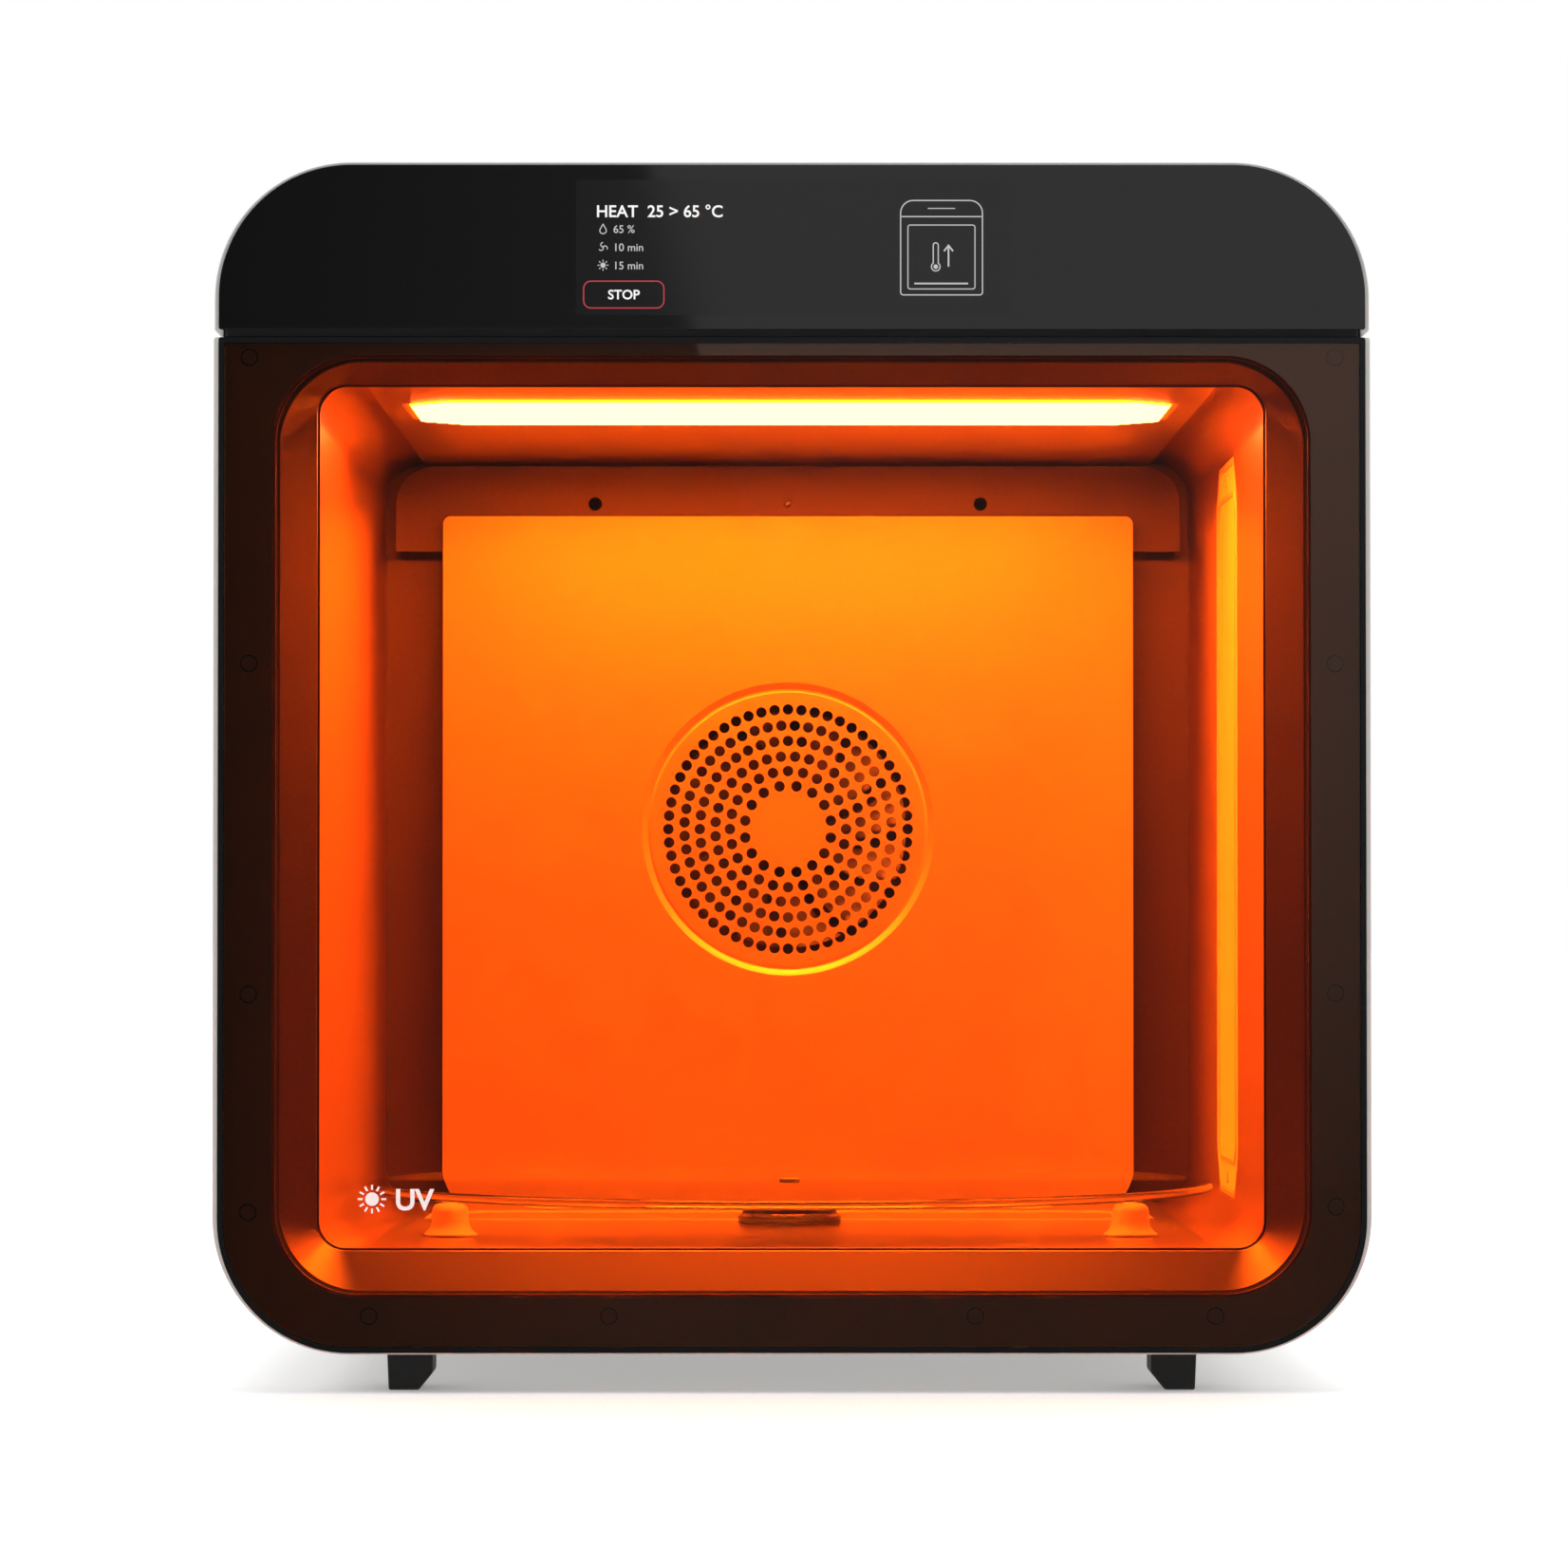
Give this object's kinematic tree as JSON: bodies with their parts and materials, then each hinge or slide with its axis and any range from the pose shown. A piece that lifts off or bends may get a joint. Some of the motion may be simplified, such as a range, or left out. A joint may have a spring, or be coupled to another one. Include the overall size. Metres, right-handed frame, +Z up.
{
  "type": "post-cure oven",
  "caption": "Bench-top UV and heat post-cure oven for resin prints: amber drop-down door, glass turntable on rollers, LED windows, hot-air fan grille and a bar display.",
  "frame": {"origin": "on the bench top, under the middle of the cabinet", "axes": "+X to the right seen from the front, +Y towards the rear, +Z up"},
  "size_m": [0.507, 0.59, 0.54],
  "materials": {
    "shell": "fine matt moulded texture, warm light grey",
    "sheet_metal": "satin powder coat",
    "gloss_black": "high gloss",
    "black_plastic": "satin",
    "dark_plastic": "matt",
    "green_board": "solder mask",
    "white_board": "white solder mask",
    "polished_steel": "polished, nearly mirror",
    "steel": "plain",
    "aluminium": "plain",
    "lit_window": "frosted and lit from behind",
    "amber": "clear amber, glossy",
    "clear_glass": "clear, polished edge",
    "white_plastic": "satin",
    "rubber": "matt"
  },
  "bodies": {
    "root": {"base_tray": "sheet_metal", "bracket_screw_left": "steel", "bracket_screw_right": "steel", "chamber_back_wall": "polished_steel", "control_board": "green_board", "cooling_fan_frame": "dark_plastic", "display_module": "dark_plastic", "divider_tray": "sheet_metal", "fan_cover": "polished_steel", "fan_cover_bracket": "polished_steel", "fan_grille": "polished_steel", "fan_motor": "steel", "foot_front_left": "rubber", "foot_front_right": "rubber", "foot_rear_left": "rubber", "foot_rear_right": "rubber", "front_bezel": "sheet_metal", "heat_sink_ceiling": "aluminium", "heat_sink_floor": "aluminium", "heat_sink_right": "aluminium", "heater_coil": "steel", "hinge_arm_left": "steel", "hinge_arm_right": "steel", "led_board_ceiling": "white_board", "led_board_floor": "white_board", "led_board_right": "white_board", "led_window_ceiling": "lit_window", "led_window_floor": "lit_window", "led_window_right": "lit_window", "liner_ceiling": "polished_steel", "liner_floor": "polished_steel", "liner_left": "polished_steel", "liner_right": "polished_steel", "lower_shell": "shell", "power_inlet": "black_plastic", "power_supply": "sheet_metal", "rear_panel": "sheet_metal", "roller_mount_front_left": "white_plastic", "roller_mount_front_right": "white_plastic", "roller_mount_rear_left": "white_plastic", "roller_mount_rear_right": "white_plastic", "switch_housing": "black_plastic", "temperature_sensor": "steel", "top_cover": "shell", "top_fascia": "gloss_black", "turntable_motor": "steel"},
    "door": {"door_window": "amber", "door_frame": "black_plastic", "door_seal": "rubber", "hinge_pin_left": "steel", "hinge_pin_right": "steel"},
    "turntable": {"turntable_glass": "clear_glass", "turntable_hub": "clear_glass"},
    "hot_air_fan": {"fan_impeller": "aluminium"},
    "cooling_fan": {"cooling_fan_rotor": "dark_plastic"},
    "switch_rocker": {"power_switch": "black_plastic"},
    "roller_front_right": {"roller_wheel_front_right": "white_plastic"},
    "roller_rear_right": {"roller_wheel_rear_right": "white_plastic"},
    "roller_rear_left": {"roller_wheel_rear_left": "white_plastic"},
    "roller_front_left": {"roller_wheel_front_left": "white_plastic"}
  },
  "joints": [
    {"name": "door_hinge", "type": "hinge", "parent": "root", "child": "door", "pos_m": [0, -0.284, 0.027], "axis": [1, 0, 0], "range_deg": [0, 90]},
    {"name": "turntable_spin", "type": "hinge", "parent": "root", "child": "turntable", "pos_m": [0, -0.01, 0.0765], "axis": [0, 0, 1], "continuous": true},
    {"name": "hot_air_fan_spin", "type": "hinge", "parent": "root", "child": "hot_air_fan", "pos_m": [0, 0.215, 0.2538], "axis": [0, 1, 0], "continuous": true},
    {"name": "cooling_fan_spin", "type": "hinge", "parent": "root", "child": "cooling_fan", "pos_m": [-0.12, 0.2817, 0.5005], "axis": [0, 1, 0], "continuous": true},
    {"name": "power_switch_rock", "type": "hinge", "parent": "root", "child": "switch_rocker", "pos_m": [0.172, 0.2872, 0.5005], "axis": [1, 0, 0], "range_deg": [0, 14]},
    {"name": "roller_front_right_spin", "type": "hinge", "parent": "root", "child": "roller_front_right", "pos_m": [0.15796, -0.12604, 0.0702], "axis": [0.8059, -0.592, 0], "continuous": true},
    {"name": "roller_rear_right_spin", "type": "hinge", "parent": "root", "child": "roller_rear_right", "pos_m": [0.12201, 0.14339, 0.0702], "axis": [0.6225, 0.7826, 0], "continuous": true},
    {"name": "roller_rear_left_spin", "type": "hinge", "parent": "root", "child": "roller_rear_left", "pos_m": [-0.12201, 0.14339, 0.0702], "axis": [-0.6225, 0.7826, 0], "continuous": true},
    {"name": "roller_front_left_spin", "type": "hinge", "parent": "root", "child": "roller_front_left", "pos_m": [-0.15796, -0.12604, 0.0702], "axis": [-0.8059, -0.592, 0], "continuous": true}
  ],
  "couplings": [
    {"joint": "roller_front_right_spin", "follows": "turntable_spin", "ratio": -32.667},
    {"joint": "roller_rear_right_spin", "follows": "turntable_spin", "ratio": -32.667},
    {"joint": "roller_rear_left_spin", "follows": "turntable_spin", "ratio": -32.667},
    {"joint": "roller_front_left_spin", "follows": "turntable_spin", "ratio": -32.667}
  ]
}
